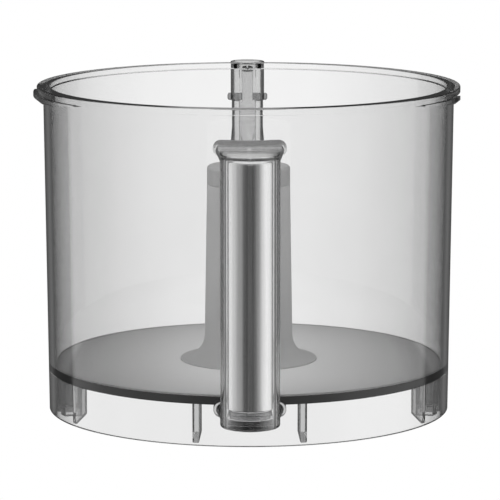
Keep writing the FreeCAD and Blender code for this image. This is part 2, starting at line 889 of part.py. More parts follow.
def make_interlock_housing(envelope):
    """Column that carries the guide tube's foot down the wall, bored for the rod and its spring."""
    body = new_body("housing_form")
    radius = D["guide_foot_radius"]
    middle = D["interlock_offset"]
    front = D["wall_base_radius"] - D["bite"]
    points = [(-radius, front), (radius, front), (radius, middle), (-radius, middle)]
    sketch = sketch_on(body, "housing_sketch", "XY_Plane", offset=D["housing_bottom"])
    outline(sketch, points, arcs={2: (ZERO, middle, True)})
    pad = body.newObject("PartDesign::Pad", "housing_pad")
    pad.Profile = sketch
    bind(pad, Length=D["guide_foot"] - D["housing_bottom"])
    room = D["guide_foot"] - D["housing_roof"] - D["housing_bottom"]
    chamber = cylinder("spring_chamber", D["chamber_radius"], room, y=middle, z=D["housing_bottom"])
    passage = cylinder(
        "rod_passage", D["rod_radius"] + D["rod_clearance"], D["guide_foot"], y=middle, z=D["housing_bottom"]
    )
    hollow = cut("housing_hollowed", body, fuse("housing_bores", chamber, passage))
    return cut("interlock_housing", hollow, envelope)


def make_spring():
    """Return spring round the foot pin, between the bush and the washer."""
    wire = D["spring_wire"]
    play = wire / 2 + D["seat_gap"]
    bush_top = D["housing_bottom"] + D["bush_recess"] + D["bush_thickness"] + D["bush_boss_height"]
    low = bush_top + play
    high = D["rod_foot"] - D["washer_thickness"] - play
    radius = D["spring_radius"]
    line = add("Part::Helix", "spring_line", Radius=radius, Height=high - low, Pitch=D["spring_pitch"])
    section = add("Part::Circle", "spring_section", Radius=wire / 2)
    place(section, x=radius)
    section.Placement = FreeCAD.Placement(section.Placement.Base, FreeCAD.Rotation(V(1, 0, 0), 90))
    doc.recompute()
    spring = doc.addObject("Part::Sweep", "interlock_spring")
    spring.Sections = [section]
    spring.Spine = (line, [f"Edge{i}" for i in range(1, len(line.Shape.Edges) + 1)])
    spring.Solid = True
    spring.Frenet = True
    place(spring, y=D["interlock_offset"], z=low)
    return spring


# --- the whole object -----------------------------------------------------------------------------


def check(pieces):
    """Stop if any object failed or any piece is not a sound solid."""
    broken = [item.Label for item in doc.Objects if {"Invalid", "Error"} & set(item.State)]
    if broken:
        raise RuntimeError(f"objects that failed to build: {broken}")
    for name, piece in pieces.items():
        if piece.Shape.isNull() or not piece.Shape.isValid() or not piece.Shape.Solids:
            raise RuntimeError(f"{name} is not a valid solid")


def main():
    envelope = wall_envelope("wall_envelope")
    shell, grip = make_handle_shell()
    pieces = {
        "bowl_wall": make_bowl_wall(),
        "bowl_floor": make_bowl_floor(),
        "floor_joint_ring": make_floor_joint_ring(),
        "base_skirt": make_base_skirt(),
        "base_lock_lugs": make_base_lock_lugs(),
        "centre_tube": make_centre_tube(),
        "centre_tube_foot": make_centre_tube_foot(),
        "tube_collar": make_tube_collar(),
        "handle_shell": shell,
        "handle_insert": make_handle_insert(),
        "handle_end_plug": make_handle_end_plug(),
        "handle_top_bridge": make_top_bridge(envelope, grip),
        "handle_bottom_bridge": make_bridge("bottom", envelope, grip),
        "interlock_tube": make_interlock_tube(envelope),
        "interlock_guide_pins": make_stub_pins(),
        "interlock_rod": make_interlock_rod(),
        "interlock_rod_cap": make_rod_cap(),
        "interlock_foot_pin": make_foot_pin(),
        "spring_seat_washer": make_spring_seat_washer(),
        "interlock_spring": make_spring(),
        "interlock_bush": make_interlock_bush(),
        "interlock_housing": make_interlock_housing(envelope),
    }
    doc.recompute()
    check(pieces)
    os.makedirs("parts", exist_ok=True)
    for name, piece in pieces.items():
        piece.Label = name
        piece.Shape.exportStep(f"parts/{name}.step")
        extent = piece.Shape.BoundBox
        heights = f"z {extent.ZMin:.2f} to {extent.ZMax:.2f}"
        print(f"{name}: {len(piece.Shape.Solids)} solid, {heights}, {piece.Shape.Volume:.0f} mm3")


main()
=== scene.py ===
"""Looks for the clear food-processor work bowl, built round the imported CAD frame. Metres, +Z up."""
import math

import bmesh
import bpy
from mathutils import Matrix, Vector


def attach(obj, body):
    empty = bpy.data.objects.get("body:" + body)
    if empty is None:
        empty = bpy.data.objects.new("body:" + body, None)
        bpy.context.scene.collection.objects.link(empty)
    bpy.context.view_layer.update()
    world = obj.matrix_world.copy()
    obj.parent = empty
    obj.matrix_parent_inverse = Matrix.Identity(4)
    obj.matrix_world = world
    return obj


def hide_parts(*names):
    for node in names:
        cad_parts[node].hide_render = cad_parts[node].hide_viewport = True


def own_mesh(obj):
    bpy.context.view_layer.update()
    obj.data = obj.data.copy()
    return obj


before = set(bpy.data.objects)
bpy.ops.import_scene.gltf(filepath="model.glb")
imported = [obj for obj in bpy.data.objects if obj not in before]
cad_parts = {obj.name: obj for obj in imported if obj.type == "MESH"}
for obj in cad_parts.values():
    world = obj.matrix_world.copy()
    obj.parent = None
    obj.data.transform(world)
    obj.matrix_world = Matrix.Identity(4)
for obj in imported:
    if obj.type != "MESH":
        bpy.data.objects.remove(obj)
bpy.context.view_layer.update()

MM = 0.001
SHARP_DEGREES = 34
ROUND_STEPS = 6
SMALL_ROUND_STEPS = 3
STADIUM_STEPS = 10
GRIP_FRONT_STEPS = 40
BOWL_SEGMENTS = 288
TUBE_SEGMENTS = 128
LUG_SEGMENTS = 48
LOCK_LUG_SEGMENTS = 24
STUD_SEGMENTS = 40


# --- outlines -------------------------------------------------------------------------------------


def rounded(corners, steps=ROUND_STEPS):
    """Closed outline (mm) from (x, y) or (x, y, radius) corners, rounded where there is a radius."""
    points = []
    count = len(corners)
    for index, corner in enumerate(corners):
        here = Vector(corner[:2])
        radius = corner[2] if len(corner) > 2 else 0.0
        if radius <= 0:
            points.append(here)
            continue
        before = (Vector(corners[index - 1][:2]) - here).normalized()
        after = (Vector(corners[(index + 1) % count][:2]) - here).normalized()
        half = before.angle(after) / 2
        centre = here + (before + after).normalized() * (radius / math.sin(half))
        start = here + before * (radius / math.tan(half)) - centre
        end = here + after * (radius / math.tan(half)) - centre
        sweep = start.angle_signed(end)
        for step in range(steps + 1):
            turn = -sweep * step / steps
            cosine, sine = math.cos(turn), math.sin(turn)
            across = start.x * cosine - start.y * sine
            up = start.x * sine + start.y * cosine
            points.append(centre + Vector((across, up)))
    return points


def offset(outline, distance):
    """Anticlockwise outline moved inwards by a distance, point by point along its normals."""
    moved = []
    count = len(outline)
    for index, point in enumerate(outline):
        ahead = outline[(index + 1) % count] - point
        behind = point - outline[index - 1]
        first = Vector((-behind.y, behind.x)).normalized()
        second = Vector((-ahead.y, ahead.x)).normalized()
        normal = (first + second).normalized()
        moved.append(point + normal * (distance / max(normal.dot(first), 0.5)))
    return moved


# --- meshes ---------------------------------------------------------------------------------------


def shade(mesh):
    mesh.shade_smooth()
    mesh.set_sharp_from_angle(angle=math.radians(SHARP_DEGREES))


def finish_mesh(name, bm):
    """Object from a bmesh: doubles merged, faces turned outwards, sharp edges kept crisp."""
    bmesh.ops.remove_doubles(bm, verts=bm.verts, dist=1e-7)
    bmesh.ops.recalc_face_normals(bm, faces=bm.faces)
    mesh = bpy.data.meshes.new(name)
    bm.to_mesh(mesh)
    bm.free()
    shade(mesh)
    piece = bpy.data.objects.new(name, mesh)
    bpy.context.scene.collection.objects.link(piece)
    return piece


def lathe_mesh(outline, segments, centre=(0.0, 0.0), start=0.0, sweep=360.0):
    """bmesh of a closed radius-height outline (mm), turned about an upright axis wholly or in part."""
    bm = bmesh.new()
    whole = sweep >= 360.0
    rings = []
    for index in range(segments if whole else segments + 1):
        angle = math.radians(start + sweep * index / segments)
        cosine, sine = math.cos(angle), math.sin(angle)
        ring = [
            bm.verts.new(((centre[0] + p.x * cosine) * MM, (centre[1] + p.x * sine) * MM, p.y * MM))
            for p in outline
        ]
        rings.append(ring)
    pairs = list(zip(rings, rings[1:] + rings[:1])) if whole else list(zip(rings, rings[1:]))
    count = len(outline)
    for ring, following in pairs:
        for index in range(count):
            ahead = (index + 1) % count
            if outline[index].x > 0 or outline[ahead].x > 0:
                bm.faces.new((ring[index], following[index], following[ahead], ring[ahead]))
    if not whole:
        bm.faces.new(rings[0])
        bm.faces.new(list(reversed(rings[-1])))
    return bm


def lathe(name, corners, segments=BOWL_SEGMENTS, centre=(0.0, 0.0)):
    return finish_mesh(name, lathe_mesh(rounded(corners), segments, centre))


def stacked(name, layers):
    """Closed object skinned over layers, each a list of points in space (mm)."""
    bm = bmesh.new()
    rings = [[bm.verts.new(Vector(p) * MM) for p in layer] for layer in layers]
    count = len(rings[0])
    for ring, following in zip(rings, rings[1:]):
        for index in range(count):
            ahead = (index + 1) % count
            bm.faces.new((ring[index], ring[ahead], following[ahead], following[index]))
    bm.faces.new(list(reversed(rings[0])))
    bm.faces.new(rings[-1])
    return finish_mesh(name, bm)


def at_height(outline, height):
    return [(p.x, p.y, height) for p in outline]


def rounded_end(outline, height, radius, downwards, steps=ROUND_STEPS):
    """Layers, in rising order, that round a prism's lower or upper end over to a flat cap."""
    layers = []
    for step in range(steps + 1):
        angle = math.pi / 2 * step / steps
        rise = radius * (1 - math.sin(angle))
        level = height + rise if downwards else height - rise
        layers.append(at_height(offset(outline, radius * (1 - math.cos(angle))), level))
    return layers[::-1] if downwards else layers


def boolean(piece, tool, operation):
    """Apply an exact boolean and remove the tool."""
    modifier = piece.modifiers.new(operation.lower(), "BOOLEAN")
    modifier.operation = operation
    modifier.object = tool
    modifier.solver = "EXACT"
    bpy.context.view_layer.update()
    graph = bpy.context.evaluated_depsgraph_get()
    mesh = bpy.data.meshes.new_from_object(piece.evaluated_get(graph))
    piece.modifiers.clear()
    old = piece.data
    piece.data = mesh
    bpy.data.meshes.remove(old)
    mesh.name = piece.name
    shade(mesh)
    bpy.data.objects.remove(tool)
    return piece


def join(name, pieces):
    """One object from several that share a look."""
    bm = bmesh.new()
    for piece in pieces:
        bm.from_mesh(piece.data)
        bpy.data.objects.remove(piece)
    return finish_mesh(name, bm)


def mirrored(name, piece):
    """Copy of an object on the other side of the YZ plane."""
    bm = bmesh.new()
    bm.from_mesh(piece.data)
    bmesh.ops.scale(bm, vec=(-1, 1, 1), verts=bm.verts)
    return finish_mesh(name, bm)


# --- sizes shared by the pieces, in millimetres -----------------------------------------------------

GAP = 0.05
WALL_FOOT_RADIUS = 98.35
WALL_DRAFT = 1.85 / 156.7
WALL_THICK = 3.4
RIM_RADIUS = 103.3
RIM_TOP = 159.7
RIM_UNDER = 156.7
LUG_RADIUS = 105.0
LUG_HEIGHT = 6.0
LUG_FACE = 1.8
LUG_RAMP_LEVEL = 150.7
LUG_RAMP_FALL = 0.087
LUG_LEFT = (177.0, 41.0)
LUG_RIGHT = (-38.0, 24.0)
SEAT_FLOOR = 156.2
RIB_SPREADS = (-60.0, -15.3, 15.3, 60.0)
RIB_DEPTH = 5.4
RIB_HALF_THICK = 1.5
LOCK_LUG_DEPTH = 7.0
LOCK_LUG_FOOT = 2.5
LOCK_LUG_START = 66
LOCK_LUG_SWEEP = 32
NOTCH_ANGLE = 71.5
NOTCH_WIDTH = 5.5
NOTCH_TOP = 7.0
FLOOR_UNDER = 20.1
FLOOR_TOP = 24.0
GRIP_FRONT = 143.0
GRIP_WIDTH = 27.5
GRIP_DEPTH = 22.0
GRIP_CORNER = 5.0
GRIP_WALL = 2.6
GRIP_LOW = 16.5
GRIP_HIGH = 142.2
GRIP_END_ROUND = 1.2
HOLLOW_CORNER = 2.4
INNER_CORNER = 1.6
BRIDGE_WIDTH = 34.0
BRIDGE_FRONT = 103.8
INTERLOCK = (0.0, 108.0)
GUIDE_RADIUS = 8.75
GUIDE_FOOT_RADIUS = 9.5
HOUSING_LOW = 4.0
HOUSING_TOP = 105.0
ROD_BORE = 4.5
GUIDE_BORE = 7.0
CHAMBER_RADIUS = 6.4
FLANGE_RADIUS = 33.5
TUBE_BORE = 17.4
TUBE_TOP_RADIUS = 20.4
TUBE_SHOULDER = 111.0


def wall_radius(height):
    return WALL_FOOT_RADIUS + WALL_DRAFT * height


# --- bowl -------------------------------------------------------------------------------------------


def below_lug_ramp():
    """Everything under the sloping plane that both lid lugs' undersides lie on."""
    reach = LUG_RADIUS + 5
    depth = 25
    corners = [(-reach, -reach), (reach, -reach), (reach, reach), (-reach, reach)]
    bottom = [(x, y, LUG_RAMP_LEVEL - depth) for x, y in corners]
    ramp = [(x, y, LUG_RAMP_LEVEL - LUG_RAMP_FALL * y) for x, y in corners]
    return stacked("below_lug_ramp", [bottom, ramp])


def lid_lug(name, start, sweep):
    """Lug under the rim that deepens along its length; it starts and sweeps by degrees."""
    edge = 0.3
    overlap = 0.2
    low = RIM_UNDER - LUG_HEIGHT
    root = wall_radius(low) - WALL_THICK / 2
    outline = rounded(
        [
            (root, low + edge),
            (wall_radius(low) - edge, low),
            (LUG_RADIUS, RIM_UNDER - LUG_FACE, edge),
            (LUG_RADIUS, RIM_UNDER + overlap, overlap),
            (root, RIM_UNDER + overlap),
        ],
        steps=SMALL_ROUND_STEPS,
    )
    lug = finish_mesh(name, lathe_mesh(outline, LUG_SEGMENTS, start=start, sweep=sweep))
    return boolean(lug, below_lug_ramp(), "DIFFERENCE")


def make_wall():
    """Drafted wall with a flat rim, two lid lugs and a seat for the interlock tube."""
    foot = wall_radius(FLOOR_TOP)
    head = wall_radius(RIM_UNDER)
    under_corner = 0.5
    lower_edge = 0.3
    outer_edge = 0.5
    inner_edge = 0.4
    wall = lathe(
        "wall",
        [
            (foot, FLOOR_TOP + GAP),
            (head, RIM_UNDER, under_corner),
            (RIM_RADIUS, RIM_UNDER, lower_edge),
            (RIM_RADIUS, RIM_TOP, outer_edge),
            (head - WALL_THICK, RIM_TOP, inner_edge),
            (head - WALL_THICK, RIM_UNDER),
            (foot - WALL_THICK, FLOOR_TOP + GAP),
        ],
    )
    boolean(wall, lid_lug("lug_left", *LUG_LEFT), "UNION")
    boolean(wall, lid_lug("lug_right", *LUG_RIGHT), "UNION")
    seat_radius = GUIDE_RADIUS + GAP
    above = RIM_TOP + 3.3
    corners = [(0.0, SEAT_FLOOR), (seat_radius, SEAT_FLOOR), (seat_radius, above), (0.0, above)]
    return boolean(wall, lathe("seat", corners, TUBE_SEGMENTS, INTERLOCK), "DIFFERENCE")


def make_floor():
    """Frosted disc whose edge turns a little way up the wall."""
    outer = wall_radius(FLOOR_TOP) - WALL_THICK - GAP
    hole = FLANGE_RADIUS + GAP
    cove_height = 0.5
    cove_width = 0.2
    cove_round = 0.45
    lower_edge = 0.2
    upper_edge = 0.3
    return lathe(
        "floor",
        [
            (hole, FLOOR_UNDER, lower_edge),
            (outer, FLOOR_UNDER),
            (outer, FLOOR_TOP + cove_height),
            (outer - cove_width, FLOOR_TOP + cove_height),
            (outer - cove_width, FLOOR_TOP, cove_round),
            (hole, FLOOR_TOP, upper_edge),
        ],
    )


def make_joint_ring():
    inner = wall_radius(FLOOR_TOP) - WALL_THICK
    edge = 0.3
    return lathe(
        "joint_ring",
        [
            (inner, FLOOR_UNDER),
            (wall_radius(FLOOR_UNDER), FLOOR_UNDER, edge),
            (wall_radius(FLOOR_TOP), FLOOR_TOP, edge),
            (inner, FLOOR_TOP),
        ],
    )


def make_skirt():
    """Clear base ring with eight ribs inside."""
    top = FLOOR_UNDER - GAP
    edge = 0.3
    skirt = lathe(
        "skirt",
        [
            (wall_radius(0) - WALL_THICK, 0.0, edge),
            (wall_radius(0), 0.0, edge),
            (wall_radius(top), top),
            (wall_radius(top) - WALL_THICK, top),
        ],
    )
    for middle in (-90, 90):
        for spread in RIB_SPREADS:
            boolean(skirt, make_rib(middle + spread), "UNION")
    return skirt


def make_rib(degrees):
    """Upright rib with its lower inner corner cut back, standing on the skirt's inside."""
    inner = wall_radius(0) - WALL_THICK
    tip = inner - RIB_DEPTH
    root = inner + 0.8
    toe = inner - 0.6
    foot = 1.0
    chamfer_top = 5.5
    nose_round = 0.8
    edge = 0.3
    top = FLOOR_UNDER - GAP * 2
    outline = rounded(
        [(tip, chamfer_top, nose_round), (toe, foot), (root, foot), (root, top), (tip, top)],
        steps=SMALL_ROUND_STEPS,
    )
    angle = math.radians(degrees)
    along = Vector((math.cos(angle), math.sin(angle), 0))
    across = Vector((-math.sin(angle), math.cos(angle), 0))
    half = RIB_HALF_THICK
    flat_half = half - edge
    layers = []
    for side, inset in ((-half, edge), (-flat_half, 0.0), (flat_half, 0.0), (half, edge)):
        flat = offset(outline, inset)
        layers.append([along * p.x + across * side + Vector((0, 0, p.y)) for p in flat])
    return stacked("rib", layers)


def make_lock_lugs():
    """Notched lug inside the skirt, one each side."""
    outer = wall_radius(0) - WALL_THICK - GAP
    inner = outer - LOCK_LUG_DEPTH
    top = 20.0
    edge = 0.6
    outline = rounded([(inner, LOCK_LUG_FOOT, edge), (outer, LOCK_LUG_FOOT), (outer, top), (inner, top)])
    block = lathe_mesh(outline, LOCK_LUG_SEGMENTS, start=LOCK_LUG_START - 90, sweep=LOCK_LUG_SWEEP)
    right = finish_mesh("lock_lug_right", block)
    notch_angle = math.radians(NOTCH_ANGLE - 90)
    along = Vector((math.cos(notch_angle), math.sin(notch_angle), 0))
    across = Vector((-math.sin(notch_angle), math.cos(notch_angle), 0))
    half = NOTCH_WIDTH / 2
    crown = half - GAP
    arch = rounded([(-half, 0.0), (half, 0.0), (half, NOTCH_TOP, crown), (-half, NOTCH_TOP, crown)])
    overshoot = 4
    layers = []
    for reach in (inner - overshoot, outer + overshoot):
        layers.append([along * reach + across * p.x + Vector((0, 0, p.y)) for p in arch])
    boolean(right, stacked("lug_notch", layers), "DIFFERENCE")
    left = mirrored("lock_lug_left", right)
    return join("lock_lugs", [right, left])


def make_centre_tube():
    """Frosted tunnel with a flared foot."""
    flange_top = FLOOR_TOP + 0.6
    flange_edge = 0.25
    flare_radius = 21.78
    flare_round = 11.4
    top_edge = 0.2
    return lathe(
        "shaft_tube",
        [
            (TUBE_BORE, FLOOR_UNDER),
            (FLANGE_RADIUS, FLOOR_UNDER),
            (FLANGE_RADIUS, flange_top, flange_edge),
            (flare_radius, flange_top, flare_round),
            (TUBE_TOP_RADIUS, TUBE_SHOULDER, top_edge),
            (TUBE_BORE, TUBE_SHOULDER),
        ],
        TUBE_SEGMENTS,
    )


def make_collar():
    """Paler ring at the tube's top, with the shaft bore."""
    bore = 11.0
    plug_foot = 107.0
    top = 120.0
    lip = TUBE_SHOULDER + GAP
    return lathe(
        "shaft_collar",
        [
            (bore, plug_foot, 0.3),
            (TUBE_BORE - GAP, plug_foot, 0.3),
            (TUBE_BORE - GAP, lip),
            (TUBE_TOP_RADIUS, lip, 0.2),
            (TUBE_TOP_RADIUS, top, 1.5),
            (bore, top, 0.8),
        ],
        TUBE_SEGMENTS,
    )


# --- handle -----------------------------------------------------------------------------------------


def d_section(inset=0.0, corner=GRIP_CORNER, ridge=0.0):
    """Grip outline: half round at the front, flat with rounded corners at the back.

    A ridge lifts the single point in the middle of the front.
    """
    half = GRIP_WIDTH / 2 - inset
    middle = GRIP_WIDTH / 2 - GRIP_FRONT
    back = GRIP_DEPTH - GRIP_FRONT - inset
    points = []
    for step in range(GRIP_FRONT_STEPS + 1):
        angle = math.pi + math.pi * step / GRIP_FRONT_STEPS
        reach = half + (ridge if step == GRIP_FRONT_STEPS // 2 else 0.0)
        points.append(Vector((reach * math.cos(angle), middle + reach * math.sin(angle))))
    for side, start in ((1, 0.0), (-1, math.pi / 2)):
        for step in range(ROUND_STEPS + 1):
            angle = start + math.pi / 2 * step / ROUND_STEPS
            centre = Vector((side * (half - corner), back - corner))
            points.append(centre + Vector((math.cos(angle), math.sin(angle))) * corner)
    return points


def grip_core():
    """Slightly oversize solid of the grip's outside, which the bridges are trimmed to."""
    section = d_section(-GAP)
    layers = rounded_end(section, GRIP_LOW - GAP, GRIP_END_ROUND, True)
    layers += rounded_end(section, GRIP_HIGH + GAP, GRIP_END_ROUND, False)
    return stacked("grip_core", layers)


def make_grip():
    """Clear hollow grip, closed at the top and open at the bottom."""
    ridge = 0.3
    hollow_top = 140.6
    hollow_round = 0.6
    section = d_section(ridge=ridge)
    layers = rounded_end(section, GRIP_LOW, GRIP_END_ROUND, True)
    layers += rounded_end(section, GRIP_HIGH, GRIP_END_ROUND, False)
    grip = stacked("grip", layers)
    hollow = d_section(GRIP_WALL, HOLLOW_CORNER)
    ceiling = [at_height(hollow, GRIP_LOW - 2)]
    ceiling += rounded_end(hollow, hollow_top, hollow_round, False, SMALL_ROUND_STEPS)
    return boolean(grip, stacked("grip_hollow", ceiling), "DIFFERENCE")


def make_insert():
    """Bright sheet tube inside the grip, closed at the top and open at the bottom."""
    low = 25.5
    high = 140.4
    sheet = 0.8
    inset = 3.3
    foot_edge = 0.15
    top_round = 2.2
    outer = d_section(inset, HOLLOW_CORNER)
    inner = d_section(inset + sheet, INNER_CORNER)
    layers = [at_height(offset(outer, foot_edge), low), at_height(outer, low + foot_edge)]
    layers += rounded_end(outer, high, top_round, False)
    tube = stacked("insert", layers)
    hollow = stacked("insert_hollow", [at_height(inner, low - 1), at_height(inner, high - sheet)])
    return boolean(tube, hollow, "DIFFERENCE")


def make_plug():
    """Stepped plug that closes the grip's lower end."""
    low = 16.9
    low_round = 0.5
    step_top = 21.2
    step_edge = 0.2
    boss_top = 25.2
    boss_edge = 0.4
    base = d_section(GRIP_WALL + 0.15, HOLLOW_CORNER)
    boss = d_section(GRIP_WALL + 1.75, INNER_CORNER)
    layers = rounded_end(base, low, low_round, True, SMALL_ROUND_STEPS)
    layers.append(at_height(base, step_top - step_edge))
    layers.append(at_height(offset(base, step_edge), step_top))
    layers.append(at_height(boss, step_top))
    layers.append(at_height(boss, boss_top - boss_edge))
    layers.append(at_height(offset(boss, boss_edge), boss_top))
    return stacked("plug", layers)


def stadium(width, low, high, y, inset=0.0):
    """Upright stadium outline at a distance along Y."""
    low, high, width = low + inset, high - inset, width - inset * 2
    half = width / 2
    least_flat = 0.02
    round_off = (high - low - least_flat) / 2
    corners = [
        (-half, low, round_off),
        (half, low, round_off),
        (half, high, round_off),
        (-half, high, round_off),
    ]
    return [(p.x, y, p.y) for p in rounded(corners, STADIUM_STEPS)]


def wall_cone():
    """Slightly oversize solid of the wall's outside, which parts on the wall are trimmed to."""
    below = -5.0
    outline = [
        Vector((0.0, below)),
        Vector((wall_radius(below) + GAP, below)),
        Vector((wall_radius(RIM_UNDER) + GAP, RIM_UNDER)),
        Vector((0.0, RIM_UNDER)),
    ]
    return finish_mesh("wall_cone", lathe_mesh(outline, BOWL_SEGMENTS))


def make_bridge(name, low, high, arm_low, arm_high):
    """Round-ended flange on the wall with an arm that narrows towards the grip."""
    start = -(WALL_FOOT_RADIUS - 2)
    rounding = 1.2
    arm_root_width = 33.0
    arm_end_width = 26.6
    arm_inset = 0.4
    layers = [stadium(BRIDGE_WIDTH, low, high, start)]
    for step in range(ROUND_STEPS + 1):
        angle = math.pi / 2 * step / ROUND_STEPS
        forward = BRIDGE_FRONT - rounding * (1 - math.sin(angle))
        layers.append(stadium(BRIDGE_WIDTH, low, high, -forward, rounding * (1 - math.cos(angle))))
    flange = stacked(name, layers)
    middle = GRIP_WIDTH / 2 - GRIP_FRONT
    arm_root = stadium(arm_root_width, low + arm_inset, high - arm_inset, start + 0.5)
    arm_end = stadium(arm_end_width, arm_low, arm_high, middle)
    boolean(flange, stacked("arm", [arm_root, arm_end]), "UNION")
    boolean(flange, wall_cone(), "DIFFERENCE")
    return boolean(flange, grip_core(), "DIFFERENCE")


def make_top_bridge():
    """Upper bridge with a thumb rest scooped out of its top."""
    bridge = make_bridge("top_bridge", 137.6, 145.1, 136.4, 140.8)
    radius = 30.0
    lowest = 141.4
    middle = -114.0
    sides = 160
    centre = Vector((middle, lowest + radius))
    angles = [math.tau * index / sides for index in range(sides)]
    circle = [centre + Vector((math.cos(angle), math.sin(angle))) * radius for angle in angles]
    scoop = stacked("thumb_scoop", [[(x, p.x, p.y) for p in circle] for x in (-radius, radius)])
    return boolean(bridge, scoop, "DIFFERENCE")


def make_bottom_bridge():
    return make_bridge("bottom_bridge", 15.2, 22.6, 18.0, 22.0)


# --- lid interlock ----------------------------------------------------------------------------------


def make_guide():
    """Clear guide tube and its housing down the wall, bored for the rod and the spring."""
    steps = 64
    arc = [math.pi * index / steps for index in range(steps + 1)]
    flat = 95.0
    section = [Vector((-GUIDE_FOOT_RADIUS, flat)), Vector((GUIDE_FOOT_RADIUS, flat))]
    for angle in arc:
        outwards = Vector((math.cos(angle), math.sin(angle)))
        section.append(Vector(INTERLOCK) + outwards * GUIDE_FOOT_RADIUS)
    layers = rounded_end(section, HOUSING_LOW, 0.6, True, SMALL_ROUND_STEPS)
    layers += rounded_end(section, HOUSING_TOP, 0.4, False, SMALL_ROUND_STEPS)
    guide = stacked("interlock_guide", layers)
    root = 90.0
    root_radius = GUIDE_FOOT_RADIUS - 0.1
    neck_radius = 8.2
    neck_round = 6.0
    neck_low = 112.0
    neck_high = 125.7
    head_low = 139.65
    head_full = 140.25
    head_edge = 0.4
    tube = lathe(
        "guide_tube",
        [
            (0.0, root),
            (root_radius, root),
            (root_radius, neck_low, neck_round),
            (neck_radius, neck_high, neck_round),
            (neck_radius, head_low, head_edge),
            (GUIDE_RADIUS, head_full, head_edge),
            (GUIDE_RADIUS, RIM_TOP, 0.5),
            (0.0, RIM_TOP),
        ],
        TUBE_SEGMENTS,
        INTERLOCK,
    )
    boolean(guide, tube, "UNION")
    boolean(guide, guide_bore(), "DIFFERENCE")
    return boolean(guide, wall_cone(), "DIFFERENCE")


def guide_bore():
    """Everything hollow in the guide: spring chamber, rod bore and the wider tube above."""
    chamber_top = 102.6
    rod_bore_top = 111.5
    wide_low = 114.0
    wide_round = 2.0
    mouth_edge = 0.3
    above = RIM_TOP + 5.0
    return lathe(
        "guide_bore",
        [
            (0.0, 0.0),
            (CHAMBER_RADIUS, 0.0),
            (CHAMBER_RADIUS, chamber_top),
            (ROD_BORE, chamber_top),
            (ROD_BORE, rod_bore_top),
            (GUIDE_BORE, wide_low, wide_round),
            (GUIDE_BORE, RIM_TOP - mouth_edge),
            (GUIDE_BORE + mouth_edge, RIM_TOP),
            (GUIDE_BORE + mouth_edge, above),
            (0.0, above),
        ],
        TUBE_SEGMENTS,
        INTERLOCK,
    )


def make_guide_pins():
    """Round-ended studs in the guide tube's sides."""
    height = 141.4
    radius = 1.9
    inner_end = 3.55
    outer_end = 10.45
    inner_round = 0.2
    outer_round = 1.2
    studs = []
    for side in (-1, 1):
        outline = rounded(
            [
                (0.0, inner_end),
                (radius, inner_end, inner_round),
                (radius, outer_end, outer_round),
                (0.0, outer_end),
            ]
        )
        bm = lathe_mesh(outline, STUD_SEGMENTS)
        for vert in bm.verts:
            x, y, z = vert.co
            vert.co = (side * z, y + INTERLOCK[1] * MM, x + height * MM)
        studs.append(finish_mesh("stud", bm))
    return join("guide_studs", studs)


def make_spring():
    """Round-wire helix between the bush and the washer."""
    wire = 0.4
    radius = 4.2
    pitch = 4.2
    low = 11.65 + wire
    high = 60.75 - wire
    around = 10
    steps_per_turn = 40
    turns = (high - low) / pitch
    steps = int(turns * steps_per_turn)
    layers = []
    for step in range(steps + 1):
        angle = math.tau * turns * step / steps
        height = low + (high - low) * step / steps
        out = Vector((math.cos(angle), math.sin(angle), 0))
        up = Vector((0, 0, 1))
        centre = Vector((*INTERLOCK, height)) + out * radius
        ring = []
        for index in range(around):
            turn = math.tau * index / around
            ring.append(centre + out * (wire * math.cos(turn)) + up * (wire * math.sin(turn)))
        layers.append(ring)
    return stacked("return_spring", layers)


# --- materials --------------------------------------------------------------------------------------


IOR = 1.5
NOISE_LOW = 0.3
NOISE_HIGH = 0.7
CLOUD_SCALE = 14.0
GRAIN_SCALE = 900.0
SMOKE = (0.55, 0.555, 0.56)


class Nodes:
    """A node tree, with short helpers that the materials and the studio share."""

    def __init__(self, tree):
        self.tree = tree

    def link(self, source, target):
        self.tree.links.new(source, target)

    def remap(self, source, from_low, from_high, to_low=0.0, to_high=1.0):
        remap = self.tree.nodes.new("ShaderNodeMapRange")
        remap.inputs["From Min"].default_value = from_low
        remap.inputs["From Max"].default_value = from_high
        remap.inputs["To Min"].default_value = to_low
        remap.inputs["To Max"].default_value = to_high
        self.link(source, remap.inputs["Value"])
        return remap.outputs["Result"]

    def ramp(self, source, stops):
        """Grey value along a source, from (position, value) stops."""
        ramp = self.tree.nodes.new("ShaderNodeValToRGB")
        elements = ramp.color_ramp.elements
        while len(elements) < len(stops):
            elements.new(0.5)
        for element, (position, value) in zip(elements, stops):
            element.position = position
            element.color = (value, value, value, 1.0)
        self.link(source, ramp.inputs["Fac"])
        return ramp.outputs["Color"]

    def mix(self, factor, first, second):
        mix = self.tree.nodes.new("ShaderNodeMix")
        mix.data_type = "RGBA"
        self.link(factor, mix.inputs["Factor"])
        self.link(first, mix.inputs["A"])
        self.link(second, mix.inputs["B"])
        return mix.outputs["Result"]

    def multiply(self, first, second):
        mix = self.tree.nodes.new("ShaderNodeMix")
        mix.data_type = "RGBA"
        mix.blend_type = "MULTIPLY"
        mix.inputs["Factor"].default_value = 1.0
        self.link(first, mix.inputs["A"])
        self.link(second, mix.inputs["B"])
        return mix.outputs["Result"]


